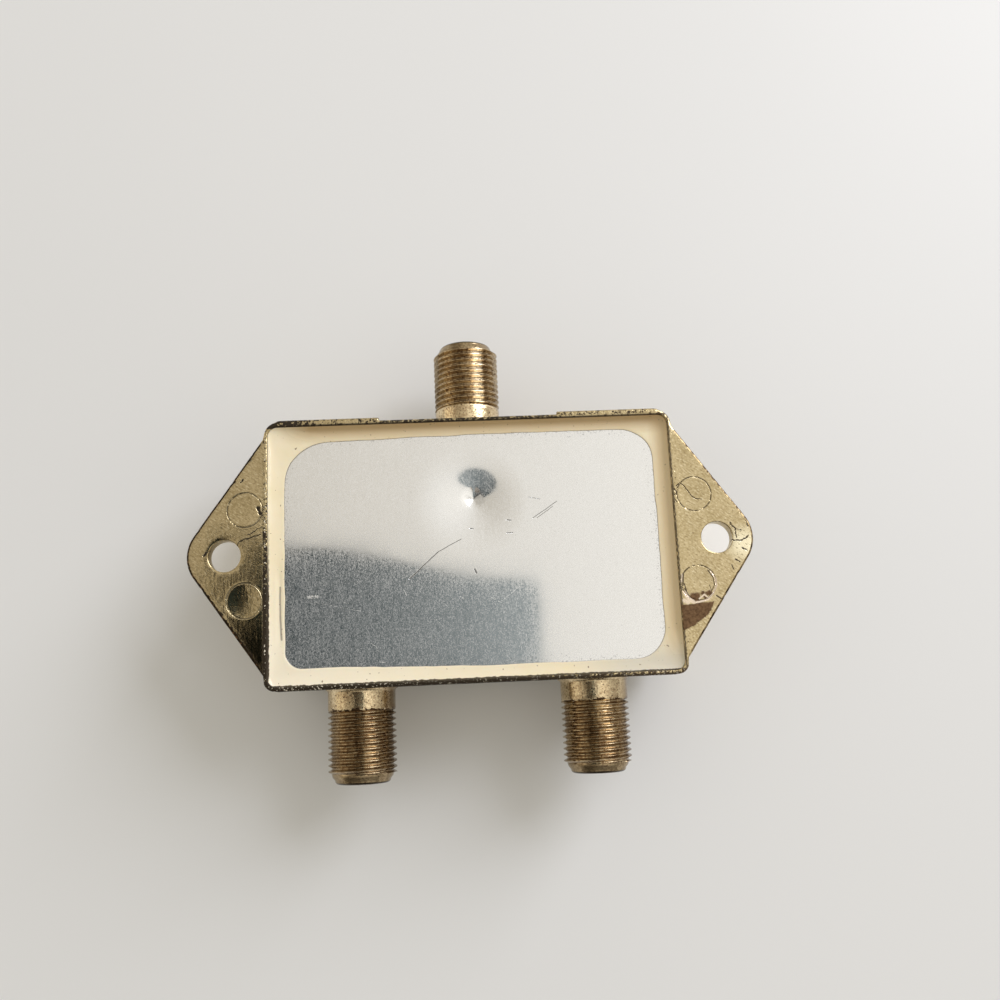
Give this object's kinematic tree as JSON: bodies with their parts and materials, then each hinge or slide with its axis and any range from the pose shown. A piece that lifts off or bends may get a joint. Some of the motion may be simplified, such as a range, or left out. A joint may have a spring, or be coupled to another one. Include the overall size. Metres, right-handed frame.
{
  "type": "coaxial switch box",
  "caption": "Shallow die-cast box with pointed mounting ears and threaded coaxial ports, sealed rear plate and a sliding A/B selector knob on the front.",
  "frame": {"origin": "centre of the back plane of the rim and ears, midway between the ear holes", "axes": "+Z out of the back (the mounting side), +X along the line of the ear holes towards port A, +Y towards the common port; the front with the knob faces -Z"},
  "size_m": [0.0768, 0.0618, 0.019],
  "materials": {
    "gold_casting": "thin gold plating on an as-cast zinc skin, worn brown on the threads",
    "cover_aluminium": "satin rolled sheet with fine scratches",
    "cream_sealant": "glossy poured sealant",
    "front_plate_enamel": "satin black enamel on aluminium",
    "plated_steel": "bright zinc plating",
    "phenolic_board": "brown paper laminate",
    "black_plastic": "moulded, lightly textured",
    "contact_metal": "tinned bronze",
    "white_plastic": "moulded polyethylene"
  },
  "bodies": {
    "box": {"housing": "gold_casting", "rear_cover": "cover_aluminium", "rear_seal": "cream_sealant", "front_plate": "front_plate_enamel", "switch_frame": "plated_steel", "switch_base": "phenolic_board", "switch_screws": "plated_steel", "common_port_guide": "white_plastic", "common_port_insulator": "white_plastic", "common_port_contact": "contact_metal", "common_terminal": "contact_metal", "common_lead": "contact_metal", "a_port_guide": "white_plastic", "a_port_insulator": "white_plastic", "a_port_contact": "contact_metal", "a_terminal": "contact_metal", "a_lead": "contact_metal", "b_port_guide": "white_plastic", "b_port_insulator": "white_plastic", "b_port_contact": "contact_metal", "b_terminal": "contact_metal", "b_lead": "contact_metal"},
    "slider": {"switch_knob": "black_plastic", "contact_bridge": "contact_metal", "detent_balls": "plated_steel", "detent_spring": "plated_steel"}
  },
  "joints": [
    {"name": "knob_slide", "type": "slide", "parent": "box", "child": "slider", "axis": [-1, 0, 0], "range_m": [0, 0.0045]}
  ]
}
